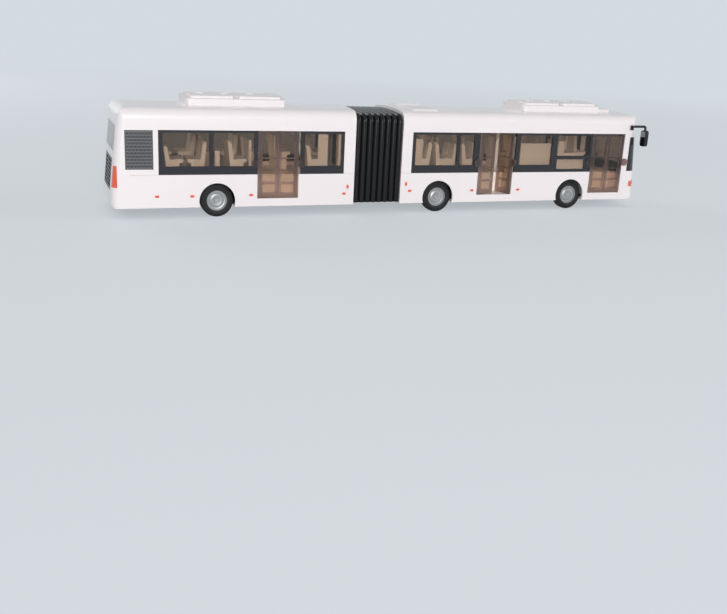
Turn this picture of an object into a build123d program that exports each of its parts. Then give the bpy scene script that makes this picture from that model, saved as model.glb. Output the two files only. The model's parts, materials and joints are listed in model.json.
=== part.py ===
from build123d import *
from math import cos, radians, sin, sqrt
import os

# Die-cast toy of an articulated city bus at 1:48, in millimetres.
# X runs forward, Y to the off side (the doors are at -Y), Z up from the ground.
# The origin lies on the ground under the middle of the overall length.

os.makedirs("parts", exist_ok=True)

# Lengths along the bus
REAR_NOSE = -174.2
REAR_CAR_FRONT = -31.9
FRONT_CAR_REAR = -1.4
FRONT_NOSE = 173.6
PIVOT_X = (REAR_CAR_FRONT + FRONT_CAR_REAR) / 2
AXLES = {"rear": -115.0, "middle": 24.4, "front": 120.7}

# Cross-section shared by both cars
BODY_WIDTH = 53.0
SIDE = BODY_WIDTH / 2
FOOT = 6.0
BELT = 24.8
BAND_TOP = 49.7
GLASS_BOTTOM = 29.4
GLASS_TOP = 48.3
ROOF_CROWN = 62.7
CROWN_RADIUS = 230.0
SHOULDER_RADIUS = 6.0
WALL = 1.4
INNER = SIDE - WALL
SEAM = 0.1

# Running gear
AXLE_Z = 9.4
TYRE_RADIUS = 9.4
TYRE_WIDTH = 5.4
TYRE_FACE = SIDE - 1.2
HUB_RADIUS = 5.8
SHAFT_RADIUS = 0.9
SHAFT_HALF = TYRE_FACE - 2.6
BEARING_RADIUS = 0.95
ARCH_RADIUS = 10.4

# Base plates and the pivot between them
PLATE_THICKNESS = 1.6
PLATE_TOP = FOOT + PLATE_THICKNESS
PLATE_INSET = 3.1
PLATE_HALF = SIDE - PLATE_INSET
TONGUE_HALF = 5.0
TONGUE_END = 6.0
PIN_RADIUS = 2.0
EYE_RADIUS = 2.05
END_PLAY = 0.2

# Doors, all on the near side
DOORS = {"rear": -79.2, "middle": 63.85, "front": 147.0}
DOOR_WIDTH = 24.8
SILL = 10.5
LEAF_THICKNESS = 1.5
PANEL_THICKNESS = 0.7
LEAF_GAP = 0.2
HINGE_INSET = 0.85
HINGE_Y = -(SIDE - 0.1 - LEAF_THICKNESS / 2)
STUB_RADIUS = 0.5
STUB_HOLE = 0.55
STUB_LENGTH = 1.4
LEAF_REACH = DOOR_WIDTH / 2 - HINGE_INSET - 0.15
HINGE_STILE = 2.0
MEETING_STILE = 1.6
KNOB_RADIUS = 2.4
KNOB_Z = 31.1
REST_ANGLE = {("middle", "rear"): 10.0, ("middle", "front"): 68.0}

# Thin panels in each leaf: foot, head
LEAF_PANELS = [(14.0, 18.7), (20.2, 26.6), (27.4, 33.6), (34.4, 48.2)]

# Interior: a floor at the belt with a low well at each door
TRAY_TOP = 22.4
TRAY_SKIN = 1.2
WELL_FLOOR = 10.4
WELL_INNER = 11.5
PANEL_TOP = 56.0

# Lamps and number plates let into the skin: ranges along X, outwards along Y, up Z
HEADLAMP = dict(x=(169.5, 180), y=(-30, -13.0), z=(13.6, 19.4))
INDICATOR = dict(x=(166.5, 169.5), y=(-30, -20), z=(14.6, 18.4))
TAIL_LAMP = dict(x=(-180, -170.7), y=(-30, -22.0), z=(17.7, 29.7))
PLATE = dict(y=(-6.0, 6.0), z=(9.6, 12.6))
ENGINE_GRILLE = dict(y=(-17.0, 17.0), z=(15.0, 33.0))
GRILLE = dict(x=(-166.2, -150.9), z=(27.8, 49.5))

# Roof air conditioners: a crowned box with two raised lids and six fans
PODS = {"rear": -101.4, "front": 115.6}
POD_LENGTH = 58.1
POD_WIDTH = 29.5
POD_CORNER = 2.5
POD_SIDE = 66.0
POD_CROWN = 67.6
LID_LENGTH = 24.8
LID_WIDTH = 26.0
LID_GAP = 3.2
LID_SIDE = 67.6
LID_CROWN = 68.6
FAN_PITCH = 14.8
FAN_STAGGER = 4.7
FAN_ROW = 4.5
FAN_POCKET = 3.0
FAN_FLOOR = 67.7
PLINTH = dict(x=(145.4, 155.4), width=22.0, top=64.0)

# Roof hatches: foot along X, foot across Y, rise above the roof, slope of their edges
HATCH = dict(x=(6.5, 23.5), y=(7.0, 21.0), rise=1.3, slope=45)

# Bellows
PLEATS = 8
PLEAT_DEPTH = 1.5
BELLOWS_HALF = SIDE - 1.6
BELLOWS_FOOT = 7.0


def away(nose, back):
    """Direction from the open end of a car to its nose."""
    return 1 if nose > back else -1


# One row for each car: open end, nose, bow of the nose, corner radius in plan,
# how far the nose leans back for each millimetre of height, roof corner radius
CARS = {
    "front": dict(back=FRONT_CAR_REAR, nose=FRONT_NOSE, bow=1.0, corner=7.0, lean=0.085, brow=8.0),
    "rear": dict(back=REAR_CAR_FRONT, nose=REAR_NOSE, bow=0.3, corner=4.0, lean=0.10, brow=8.0),
}
LEAN_FROM = 14.0
PROFILE_AHEAD = 0.02


def car_plan(car, inset):
    """Outline seen from above: straight sides, rounded corners, bowed nose."""
    way = away(car["nose"], car["back"])
    half = SIDE - inset
    nose = car["nose"] - way * inset
    shoulder = nose - way * car["bow"]
    back = car["back"] + way * inset
    with BuildSketch() as plan:
        with BuildLine():
            Polyline((shoulder, -half), (back, -half), (back, half), (shoulder, half))
            ThreePointArc((shoulder, half), (nose, 0), (shoulder, -half))
        make_face()
        corners = plan.vertices().filter_by(lambda v: abs(v.X - shoulder) < 0.01)
        fillet(corners, car["corner"] - inset)
    return plan.sketch


def car_profile(car, inset, foot):
    """Outline seen from the side: a leaning nose with a rounded brow, just clear of the plan."""
    way = away(car["nose"], car["back"])
    crown = ROOF_CROWN - inset
    nose = car["nose"] - way * (inset - PROFILE_AHEAD)
    back = car["back"] + way * inset
    brow_x = nose - way * car["lean"] * (crown - LEAN_FROM)
    with BuildSketch(Plane.XZ) as profile:
        with BuildLine():
            Polyline((brow_x, crown), (back, crown), (back, foot), (nose, foot), (nose, LEAN_FROM),
                     close=True)
        make_face()
        brow = profile.vertices().filter_by(lambda v: abs(v.X - brow_x) < 0.01)
        fillet(brow, car["brow"] - inset)
        if foot == FOOT:
            chin = profile.vertices().filter_by(
                lambda v: abs(v.X - nose) < 0.01 and abs(v.Y - foot) < 0.01)
            fillet(chin, 3.0)
    return profile.sketch


def crowned(half, foot, side, crown, shoulder=0.0):
    """Outline seen from the end: upright sides and an arched top, its corners rounded."""
    with BuildSketch(Plane.YZ) as section:
        with BuildLine():
            Polyline((-half, side), (-half, foot), (half, foot), (half, side))
            ThreePointArc((half, side), (0, crown), (-half, side))
        make_face()
        if shoulder:
            fillet(section.vertices().group_by(Axis.Y)[-1], shoulder)
    return section.sketch


def arch_drop(half):
    """How far the roof's arch falls from its crown to a given half width."""
    return CROWN_RADIUS - sqrt(CROWN_RADIUS**2 - half**2)


def car_block(car, inset=0.0, foot=FOOT):
    """Solid block with the outer form of a car, shrunk by inset."""
    half = SIDE - inset
    crown = ROOF_CROWN - inset
    section = crowned(half, foot, crown - arch_drop(half), crown, SHOULDER_RADIUS - inset)
    plan = car_plan(car, inset)
    lean = (-away(car["nose"], car["back"]) * car["lean"], 0, 1)
    with BuildPart() as block:
        extrude(to_extrude=plan, amount=LEAN_FROM)
        extrude(to_extrude=plan.moved(Location((0, 0, LEAN_FROM))), amount=80, dir=lean)
        extrude(to_extrude=car_profile(car, inset, foot), amount=60, both=True,
                mode=Mode.INTERSECT)
        extrude(to_extrude=section, amount=200, both=True, mode=Mode.INTERSECT)
    return block.part


def span_box(x, y, z):
    """Box between two corners, each axis given as (low, high)."""
    with BuildPart() as block:
        with Locations(((x[0] + x[1]) / 2, (y[0] + y[1]) / 2, (z[0] + z[1]) / 2)):
            Box(x[1] - x[0], y[1] - y[0], z[1] - z[0])
    return block.part


def both_sides(x, y, z):
    """The same box at both sides of the bus."""
    return [span_box(x, y, z), span_box(x, (-y[1], -y[0]), z)]


def door_span(door, margin=0.0):
    """Start and end of a door opening along X."""
    half = DOOR_WIDTH / 2 + margin
    return (DOORS[door] - half, DOORS[door] + half)


OUTER = {name: car_block(car) for name, car in CARS.items()}
SKIN = {name: OUTER[name] - car_block(car, WALL, FOOT - 2) for name, car in CARS.items()}

# Per car: where the skirt runs, the window band, its doors and axles
SKIRT_SPAN = {"front": (FRONT_CAR_REAR - 1, 159.4), "rear": (-163.8, REAR_CAR_FRONT + 1)}
BAND_SPAN = {"front": (5.2, 159.4), "rear": (-148.1, -38.8)}
CAR_DOORS = {"front": ["middle", "front"], "rear": ["rear"]}
CAR_AXLES = {"front": ["middle", "front"], "rear": ["rear"]}

# Windows on the near side: start, end, bottom
NEAR_WINDOWS = {
    "front": [(7.3, 35.4, GLASS_BOTTOM), (37.6, 47.3, GLASS_BOTTOM), (80.1, 103.7, GLASS_BOTTOM),
              (107.6, 132.6, 35.2)],
    "rear": [(-145.6, -119.5, GLASS_BOTTOM), (-117.3, -93.6, GLASS_BOTTOM),
             (-63.4, -40.6, GLASS_BOTTOM)],
}
# Windows on the off side: start, end, bottom
OFF_WINDOWS = {
    "front": [(7.3, 35.4, GLASS_BOTTOM), (37.6, 76.6, GLASS_BOTTOM), (80.1, 103.7, GLASS_BOTTOM),
              (107.6, 130.6, GLASS_BOTTOM), (133.6, 157.0, GLASS_BOTTOM)],
    "rear": [(-145.6, -119.5, GLASS_BOTTOM), (-117.3, -93.6, GLASS_BOTTOM),
             (-91.4, -65.6, GLASS_BOTTOM), (-63.4, -40.6, GLASS_BOTTOM)],
}
WINDOW_RADIUS = 1.0
PANE_THICKNESS = 0.9
PANE_INSET = 0.15
PANE_Y = (-SIDE + PANE_INSET, -SIDE + PANE_INSET + PANE_THICKNESS)

# Pane low in the near side of the front car, with a blank sign behind it
SIGN = dict(x=(108.4, 129.3), z=(26.6, 33.1))
SIGN_MARGIN = 0.6

# Windscreen, the display over it and the rear window
SCREEN_BACK = 163.4
SCREEN_FOOT = 25.0
SCREEN_HEAD = 47.6
DISPLAY_HALF = 20.0
DISPLAY_HEAD = 56.0
REAR_GLASS_FOOT = 37.0
REAR_GLASS_HEAD = 51.4
REAR_GLASS_HALF = 20.0

# Round bosses over the doors: centre X, centre Z
BOSSES = {"front": (75.7, 55.0), "rear": (-72.8, 54.2)}
BOSS_RADIUS = 2.2
BOSS_HEIGHT = 0.2


def side_windows(windows, side, depth, start):
    """Rounded window shapes, extruded inwards from the side of the bus."""
    plane = Plane.XZ.offset(SIDE - start) if side < 0 else Plane.XZ.offset(-(SIDE - start))
    with BuildPart() as openings:
        with BuildSketch(plane):
            for left, right, bottom in windows:
                with Locations(((left + right) / 2, (bottom + GLASS_TOP) / 2)):
                    RectangleRounded(right - left, GLASS_TOP - bottom, WINDOW_RADIUS)
        extrude(amount=depth * side)
    return openings.part


def band_plate(car, side):
    """Black band that fills the long opening in one side of a car."""
    start, end = BAND_SPAN[car]
    y = (-SIDE, -INNER) if side < 0 else (INNER, SIDE)
    return span_box((start, end), y, (BELT, BAND_TOP))


# Openings in each upper shell, besides the window band and the doorway to the bellows
CUT_OUTS = {
    "front": [span_box((SCREEN_BACK, 180), (-30, 30), (SCREEN_FOOT, SCREEN_HEAD)),
              span_box((155, 180), (-DISPLAY_HALF, DISPLAY_HALF), (SCREEN_HEAD - 1, DISPLAY_HEAD)),
              span_box((168, 180), PLATE["y"], PLATE["z"]),
              *both_sides(HEADLAMP["x"], HEADLAMP["y"], HEADLAMP["z"]),
              *both_sides(INDICATOR["x"], INDICATOR["y"], INDICATOR["z"])],
    "rear": [span_box((-180, -160), (-REAR_GLASS_HALF, REAR_GLASS_HALF),
                      (REAR_GLASS_FOOT, REAR_GLASS_HEAD)),
             span_box((-180, -160), ENGINE_GRILLE["y"], ENGINE_GRILLE["z"]),
             span_box((-180, -168), PLATE["y"], PLATE["z"]),
             *both_sides(GRILLE["x"], (-30, -20), GRILLE["z"]),
             *both_sides(TAIL_LAMP["x"], TAIL_LAMP["y"], TAIL_LAMP["z"])],
}
DOORWAY_HALF = 17.0
DOORWAY_HEAD = 54.5
HEADER_HEIGHT = 2.6

# Upper body shells, open to the skirts below and to the bellows
for name, car in CARS.items():
    back = car["back"]
    way = away(car["nose"], back)
    with BuildPart() as shell:
        add(SKIN[name])
        with BuildSketch(Plane.XZ.offset(SIDE - 0.5)):
            with Locations(BOSSES[name]):
                Circle(BOSS_RADIUS)
        extrude(amount=0.5 + BOSS_HEIGHT)
        add(span_box(SKIRT_SPAN[name], (-30, 30), (0, BELT)), mode=Mode.SUBTRACT)
        add(both_sides(BAND_SPAN[name], (-30, -20), (BELT - 1, BAND_TOP)), mode=Mode.SUBTRACT)
        add(CUT_OUTS[name], mode=Mode.SUBTRACT)
        doorway = sorted((back - way, back + way * 3))
        add(span_box(doorway, (-DOORWAY_HALF, DOORWAY_HALF), (BELT - 1, DOORWAY_HEAD)),
            mode=Mode.SUBTRACT)
        for door in CAR_DOORS[name]:
            add(span_box(door_span(door, 1.0), (-INNER, HINGE_Y + 2.4),
                         (BAND_TOP, BAND_TOP + HEADER_HEIGHT)))
            for x in door_span(door, -HINGE_INSET):
                with Locations((x, HINGE_Y, BAND_TOP)):
                    Cylinder(STUB_HOLE, 2 * (STUB_LENGTH + 0.2), mode=Mode.SUBTRACT)
    shell.part.label = f"{name}_body"
    export_step(shell.part, f"parts/{name}_body.step")

# Cast skirts: side walls with arches and door notches, seated on the base plate's edges
for name, car in CARS.items():
    back = car["back"]
    way = away(car["nose"], back)
    start, end = SKIRT_SPAN[name]
    ledge_span = sorted((back + way * WALL, end if way > 0 else start))
    with BuildPart() as skirt:
        add(SKIN[name])
        add(span_box((start, end), (-30, 30), (0, BELT - SEAM)), mode=Mode.INTERSECT)
        add(both_sides(ledge_span, (-INNER - 0.2, -PLATE_HALF), (FOOT, PLATE_TOP)))
        for door in CAR_DOORS[name]:
            low, high = door_span(door)
            add(span_box((low - 1, min(high + 1, end)), (-INNER - 0.2, -PLATE_HALF), (FOOT, SILL)))
            add(span_box((low, high), (-30, -20), (SILL, BELT)), mode=Mode.SUBTRACT)
            for x in door_span(door, -HINGE_INSET):
                with Locations((x, HINGE_Y, SILL)):
                    Cylinder(STUB_HOLE, 2 * (STUB_LENGTH + 0.2), mode=Mode.SUBTRACT)
        for axle in CAR_AXLES[name]:
            with BuildSketch(Plane.XZ):
                with Locations((AXLES[axle], AXLE_Z)):
                    Circle(ARCH_RADIUS)
            extrude(amount=40, both=True, mode=Mode.SUBTRACT)
        notch = sorted((back - way, back + way * 12))
        add(span_box(notch, (-9, 9), (0, 11)), mode=Mode.SUBTRACT)
    skirt.part.label = f"{name}_skirt"
    export_step(skirt.part, f"parts/{name}_skirt.step")

# Screw sockets under the base plates, where the toy is screwed to its stand
SOCKETS = {"front": 72.0, "rear": -75.0}
SOCKET_LENGTH = 3.0
SOCKET_RADIUS = 2.6
SCREW_RADIUS = 1.1

# Base plates with bearing blocks and, at the bellows, a tongue for the pivot
for name, car in CARS.items():
    back = car["back"]
    way = away(car["nose"], back)
    with BuildPart() as chassis:
        with BuildSketch(Plane.XY.offset(FOOT)):
            add(car_plan(car, PLATE_INSET))
        extrude(amount=PLATE_THICKNESS)
        for axle in CAR_AXLES[name]:
            x = AXLES[axle]
            add(both_sides((x - 11, x + 11), (-30, -18.4), (0, 20)), mode=Mode.SUBTRACT)
            add(both_sides((x - 2.6, x + 2.6), (-18.2, -13.0), (PLATE_TOP, 12.0)))
            with BuildSketch(Plane.XZ):
                with Locations((x, AXLE_Z)):
                    Circle(BEARING_RADIUS)
            extrude(amount=40, both=True, mode=Mode.SUBTRACT)
        tongue_foot = FOOT if name == "front" else PLATE_TOP + END_PLAY
        if name == "rear":
            low, high = sorted((back + way * 5, back + way * 10))
            add(span_box((low, high), (-TONGUE_HALF, TONGUE_HALF),
                         (PLATE_TOP, tongue_foot + PLATE_THICKNESS)))
        with BuildSketch(Plane.XY.offset(tongue_foot)):
            low, high = sorted((PIVOT_X, back + way * 8))
            with Locations(((low + high) / 2, 0)):
                Rectangle(high - low, 2 * TONGUE_HALF)
            with Locations((PIVOT_X, 0)):
                Circle(TONGUE_END)
                Circle(PIN_RADIUS if name == "front" else EYE_RADIUS, mode=Mode.SUBTRACT)
        extrude(amount=PLATE_THICKNESS)
    chassis.part.label = f"{name}_chassis"
    export_step(chassis.part, f"parts/{name}_chassis.step")

# Pivot pin, fixed in the front tongue, with a head over the rear tongue's eye
PIN_HEAD = 3.6
PIN_TOP = FOOT + 2 * PLATE_THICKNESS + 2 * END_PLAY
with BuildPart() as pivot_pin:
    with BuildSketch(Plane.XY.offset(FOOT)):
        with Locations((PIVOT_X, 0)):
            Circle(PIN_RADIUS)
    extrude(amount=PIN_TOP - FOOT)
    with BuildSketch(Plane.XY.offset(PIN_TOP)):
        with Locations((PIVOT_X, 0)):
            Circle(PIN_HEAD)
    extrude(amount=1.0)
    chamfer(pivot_pin.edges().group_by(Axis.Z)[-1], 0.4)
pivot_pin.part.label = "pivot_pin"
export_step(pivot_pin.part, "parts/pivot_pin.step")

# Screw sockets, each seated on the underside of its base plate
for name, x in SOCKETS.items():
    with BuildPart() as socket:
        with BuildSketch(Plane.XY.offset(FOOT - SOCKET_LENGTH)):
            with Locations((x, 0)):
                Circle(SOCKET_RADIUS)
                Circle(SCREW_RADIUS, mode=Mode.SUBTRACT)
        extrude(amount=SOCKET_LENGTH)
    socket.part.label = f"{name}_screw_socket"
    export_step(socket.part, f"parts/{name}_screw_socket.step")

# Half sections of a wheel: distance in from the tyre's face, radius
TYRE_OUTLINE = [(0.3, HUB_RADIUS), (0.0, 7.6), (0.8, TYRE_RADIUS), (TYRE_WIDTH - 0.8, TYRE_RADIUS),
                (TYRE_WIDTH, 7.6), (TYRE_WIDTH - 0.3, HUB_RADIUS)]
HUB_OUTLINE = [(0.6, 0.0), (0.6, 1.4), (1.0, 1.7), (0.8, 3.0), (1.2, 4.0), (1.7, 4.2),
               (1.5, 5.1), (0.6, 5.3), (0.6, HUB_RADIUS), (TYRE_WIDTH - 0.6, HUB_RADIUS),
               (TYRE_WIDTH - 0.6, SHAFT_RADIUS), (TYRE_FACE - SHAFT_HALF, SHAFT_RADIUS),
               (TYRE_FACE - SHAFT_HALF, 0.0)]


def wheel_pair(outline, x):
    """Two mirrored rings or discs turned about an axle from one half section."""
    with BuildPart() as pair:
        for side in (-1, 1):
            with BuildSketch(Plane.XY.offset(AXLE_Z)):
                with BuildLine():
                    Polyline([(x + radius, side * (TYRE_FACE - inwards)) for inwards, radius in outline],
                             close=True)
                make_face()
            revolve(axis=Axis((x, 0, AXLE_Z), (0, 1, 0)))
    return pair.part


# Axles: a steel shaft pressed into two blind hubs, each with its tyre
for axle, x in AXLES.items():
    with BuildPart() as shaft:
        with BuildSketch(Plane.XZ.offset(-SHAFT_HALF)):
            with Locations((x, AXLE_Z)):
                Circle(SHAFT_RADIUS)
        extrude(amount=2 * SHAFT_HALF)
    shaft.part.label = f"{axle}_axle_shaft"
    export_step(shaft.part, f"parts/{axle}_axle_shaft.step")

    for piece, outline in (("hubs", HUB_OUTLINE), ("tyres", TYRE_OUTLINE)):
        with BuildPart() as wheels:
            add(wheel_pair(outline, x))
        wheels.part.label = f"{axle}_{piece}"
        export_step(wheels.part, f"parts/{axle}_{piece}.step")

# Black window bands and their smoked panes
for name in CARS:
    with BuildPart() as frames:
        add(band_plate(name, -1))
        for door in CAR_DOORS[name]:
            low, high = door_span(door)
            add(span_box((low, high + 1), (-30, -20), (0, 60)), mode=Mode.SUBTRACT)
        add(side_windows(NEAR_WINDOWS[name], -1, 4, -1), mode=Mode.SUBTRACT)
        if name == "front":
            add(span_box(SIGN["x"], (-30, -20), SIGN["z"]), mode=Mode.SUBTRACT)
        add(band_plate(name, 1))
        add(side_windows(OFF_WINDOWS[name], 1, 4, -1), mode=Mode.SUBTRACT)
    frames.part.label = f"{name}_window_frames"
    export_step(frames.part, f"parts/{name}_window_frames.step")

    with BuildPart() as panes:
        add(side_windows(NEAR_WINDOWS[name], -1, PANE_THICKNESS, PANE_INSET))
        if name == "front":
            add(span_box(SIGN["x"], PANE_Y, SIGN["z"]))
        add(side_windows(OFF_WINDOWS[name], 1, PANE_THICKNESS, PANE_INSET))
    panes.part.label = f"{name}_window_panes"
    export_step(panes.part, f"parts/{name}_window_panes.step")


# Windscreen, its frame and the blank display over it, all flush with the nose
SCREEN_GLASS = span_box((165, 180), (-23.4, 23.4), (SCREEN_FOOT + 2, SCREEN_HEAD - 1.2))
DISPLAY_GLASS = span_box((155, 180), (-DISPLAY_HALF + 1.4, DISPLAY_HALF - 1.4),
                         (SCREEN_HEAD + 0.6, DISPLAY_HEAD - 1.2))
REAR_PANE = span_box((-180, -160), (-REAR_GLASS_HALF + 1.6, REAR_GLASS_HALF - 1.6),
                     (REAR_GLASS_FOOT + 1.6, REAR_GLASS_HEAD - 1.6))

# Frames cut from a car's skin: car, outline boxes, holes in them
SKIN_FRAMES = {
    "windscreen_frame": ("front", CUT_OUTS["front"][:2], [SCREEN_GLASS, DISPLAY_GLASS]),
    "rear_window_frame": ("rear", CUT_OUTS["rear"][:1], [REAR_PANE]),
}
for piece, (name, boxes, holes) in SKIN_FRAMES.items():
    with BuildPart() as surround:
        add(SKIN[name])
        add(boxes, mode=Mode.INTERSECT)
        add(holes, mode=Mode.SUBTRACT)
    surround.part.label = piece
    export_step(surround.part, f"parts/{piece}.step")

# Pieces of a car's skin, cut out by a box and set back into it flush
FLUSH = {
    "windscreen": ("front", [SCREEN_GLASS]),
    "front_display": ("front", [DISPLAY_GLASS]),
    "headlamps": ("front", both_sides(HEADLAMP["x"], HEADLAMP["y"], HEADLAMP["z"])),
    "front_indicators": ("front", both_sides(INDICATOR["x"], INDICATOR["y"], INDICATOR["z"])),
    "front_number_plate": ("front", [span_box((168, 180), PLATE["y"], PLATE["z"])]),
    "rear_window": ("rear", [REAR_PANE]),
    "tail_lamps": ("rear", both_sides(TAIL_LAMP["x"], TAIL_LAMP["y"], TAIL_LAMP["z"])),
    "rear_number_plate": ("rear", [span_box((-180, -168), PLATE["y"], PLATE["z"])]),
}
for piece, (name, boxes) in FLUSH.items():
    with BuildPart() as inlay:
        add(SKIN[name])
        add(boxes, mode=Mode.INTERSECT)
    inlay.part.label = piece
    export_step(inlay.part, f"parts/{piece}.step")

# Engine grille across the tail, with level louvre slots cut square to its leaning face
SLOT_DEPTH = 0.8
GRILLE_MIDDLE = sum(ENGINE_GRILLE["z"]) / 2
GRILLE_X = REAR_NOSE + CARS["rear"]["lean"] * (GRILLE_MIDDLE - LEAN_FROM)
SLOT_PLANE = Plane((GRILLE_X + SLOT_DEPTH, 0, GRILLE_MIDDLE), x_dir=(0, 1, 0),
                   z_dir=(-1, 0, CARS["rear"]["lean"]))
with BuildPart() as engine_grille:
    add(SKIN["rear"])
    add(span_box((-180, -160), ENGINE_GRILLE["y"], ENGINE_GRILLE["z"]), mode=Mode.INTERSECT)
    with BuildSketch(SLOT_PLANE):
        with GridLocations(15.6, 2.2, 2, 7):
            Rectangle(14.0, 1.2)
    extrude(amount=3.0, mode=Mode.SUBTRACT)
engine_grille.part.label = "engine_grille"
export_step(engine_grille.part, "parts/engine_grille.step")

# Grilles in the rear car's sides, each a plate with a field of square pockets
with BuildPart() as side_grilles:
    for side in (-1, 1):
        y = sorted((side * SIDE, side * INNER))
        add(span_box(GRILLE["x"], y, GRILLE["z"]))
        with BuildSketch(Plane.XZ.offset(-side * SIDE)):
            with Locations((sum(GRILLE["x"]) / 2, sum(GRILLE["z"]) / 2)):
                with GridLocations(2.2, 2.2, 6, 9):
                    Rectangle(1.6, 1.6)
        extrude(amount=side * 0.7, mode=Mode.SUBTRACT)
side_grilles.part.label = "side_grilles"
export_step(side_grilles.part, "parts/side_grilles.step")

# Blank sign behind its pane in the front car's band
with BuildPart() as side_sign:
    add(span_box((SIGN["x"][0] - SIGN_MARGIN, SIGN["x"][1] + SIGN_MARGIN), (-INNER, -INNER + 0.8),
                 (SIGN["z"][0] - SIGN_MARGIN, SIGN["z"][1] + SIGN_MARGIN)))
side_sign.part.label = "side_sign"
export_step(side_sign.part, "parts/side_sign.step")

# Side markers on the skirts: centre X, centre Z, turn from level
MARKERS = {
    "rear": [(-149.2, 12.6, 0), (-129.5, 12.5, 0), (-95.3, 12.7, 0), (-38.1, 12.7, 0),
             (-36.0, 16.9, 90)],
    "front": [(2.3, 18.1, 90), (5.0, 13.8, 0), (48.0, 13.5, 0), (81.2, 13.5, 0)],
}
MARKER_LENGTH = 2.4
MARKER_WIDTH = 1.3
for name, rows in MARKERS.items():
    with BuildPart() as markers:
        for side in (-1, 1):
            with BuildSketch(Plane.XZ.offset(-side * SIDE)):
                for x, z, turn in rows:
                    with Locations((x, z)):
                        SlotOverall(MARKER_LENGTH, MARKER_WIDTH, rotation=turn)
            extrude(amount=-side * 0.35)
    markers.part.label = f"{name}_side_markers"
    export_step(markers.part, f"parts/{name}_side_markers.step")


def fan_places(x):
    """Centres of a pod's six fans, in two rows shifted along the bus."""
    return [(x + row * FAN_STAGGER + step * FAN_PITCH, row * FAN_ROW)
            for row in (-1, 1) for step in (-1, 0, 1)]


# Low plinth on the roof ahead of the front unit
with BuildPart() as plinth:
    with BuildSketch(Plane.XY.offset(ROOF_CROWN - 3)):
        with Locations((sum(PLINTH["x"]) / 2, 0)):
            RectangleRounded(PLINTH["x"][1] - PLINTH["x"][0], PLINTH["width"], 1.5)
    extrude(amount=PLINTH["top"] - ROOF_CROWN + 3)

# Roof air conditioners with their fans
for name, x in PODS.items():
    with BuildPart() as pod:
        with BuildSketch(Plane.XY.offset(ROOF_CROWN - 4)):
            with Locations((x, 0)):
                RectangleRounded(POD_LENGTH, POD_WIDTH, POD_CORNER)
        extrude(amount=20)
        extrude(to_extrude=crowned(POD_WIDTH / 2, 50, POD_SIDE, POD_CROWN), amount=200, both=True,
                mode=Mode.INTERSECT)
    with BuildPart() as lids:
        with BuildSketch(Plane.XY.offset(POD_SIDE - 1)):
            with Locations((x, 0)):
                with GridLocations(LID_LENGTH + LID_GAP, 1, 2, 1):
                    RectangleRounded(LID_LENGTH, LID_WIDTH, POD_CORNER / 2)
        extrude(amount=20)
        extrude(to_extrude=crowned(LID_WIDTH / 2, 50, LID_SIDE, LID_CROWN), amount=200, both=True,
                mode=Mode.INTERSECT)
    with BuildPart() as unit:
        add(pod.part)
        add(lids.part)
        with BuildSketch(Plane.XY.offset(FAN_FLOOR)):
            with Locations(fan_places(x)):
                Circle(FAN_POCKET)
        extrude(amount=2, mode=Mode.SUBTRACT)
        if name == "front":
            add(plinth.part)
        add(OUTER[name], mode=Mode.SUBTRACT)
    unit.part.label = f"{name}_air_conditioner"
    export_step(unit.part, f"parts/{name}_air_conditioner.step")

    with BuildPart() as fans:
        with BuildSketch(Plane.XY.offset(FAN_FLOOR)):
            with Locations(fan_places(x)):
                Rectangle(2 * FAN_POCKET - 0.6, 0.7, rotation=45)
                Rectangle(0.7, 2 * FAN_POCKET - 0.6, rotation=45)
                Circle(0.95)
        extrude(amount=0.5)
    fans.part.label = f"{name}_roof_fans"
    export_step(fans.part, f"parts/{name}_roof_fans.step")

# Roof hatches near the bellows, their tops parallel to the arched roof
HATCH_FOOT = ROOF_CROWN - 1.0
HATCH_CROWN = ROOF_CROWN + HATCH["rise"]
HATCH_SPREAD = 1.2
with BuildPart() as roof_hatches:
    with BuildSketch(Plane.XY.offset(HATCH_FOOT)):
        with Locations((sum(HATCH["x"]) / 2, 0)):
            with GridLocations(1, sum(HATCH["y"]), 1, 2):
                Rectangle(HATCH["x"][1] - HATCH["x"][0] + HATCH_SPREAD,
                          HATCH["y"][1] - HATCH["y"][0] + HATCH_SPREAD)
    extrude(amount=HATCH_CROWN - HATCH_FOOT, taper=HATCH["slope"])
    extrude(to_extrude=crowned(SIDE, 50, HATCH_CROWN - arch_drop(SIDE), HATCH_CROWN), amount=200,
            both=True, mode=Mode.INTERSECT)
    add(OUTER["front"], mode=Mode.SUBTRACT)
roof_hatches.part.label = "roof_hatches"
export_step(roof_hatches.part, "parts/roof_hatches.step")

# Mirrors on their arms
ARM_BASE = (163.4, 53.9)
ARM_Z = 54.9
MIRROR_X = 173.05
MIRROR_Y = 28.5
HEAD_SIZE = (2.3, 5.4, 10.5)
HEAD_Z = 47.15
HEAD_ROUND = 1.7
for piece, side in (("right_mirror", -1), ("left_mirror", 1)):
    with BuildPart() as mirror_unit:
        with BuildSketch(Plane.XZ.offset(-side * (SIDE - 1))):
            with Locations(ARM_BASE):
                Rectangle(2.0, 3.0)
        extrude(amount=-side * 2.1)
        with BuildLine() as arm:
            FilletPolyline((ARM_BASE[0], side * (SIDE + 0.3), ARM_BASE[1]),
                           (ARM_BASE[0], side * MIRROR_Y, ARM_Z), (MIRROR_X, side * MIRROR_Y, ARM_Z),
                           (MIRROR_X, side * MIRROR_Y, HEAD_Z + 4), radius=1.4)
        with BuildSketch(Plane(arm.line @ 0, z_dir=arm.line % 0)):
            RegularPolygon(0.85, 8)
        sweep(path=arm.line)
        with Locations((MIRROR_X, side * MIRROR_Y, HEAD_Z)):
            head = Box(*HEAD_SIZE)
        fillet(head.edges().filter_by(Axis.X), HEAD_ROUND)
        add(OUTER["front"], mode=Mode.SUBTRACT)
    mirror_unit.part.label = piece
    export_step(mirror_unit.part, f"parts/{piece}.step")

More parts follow.
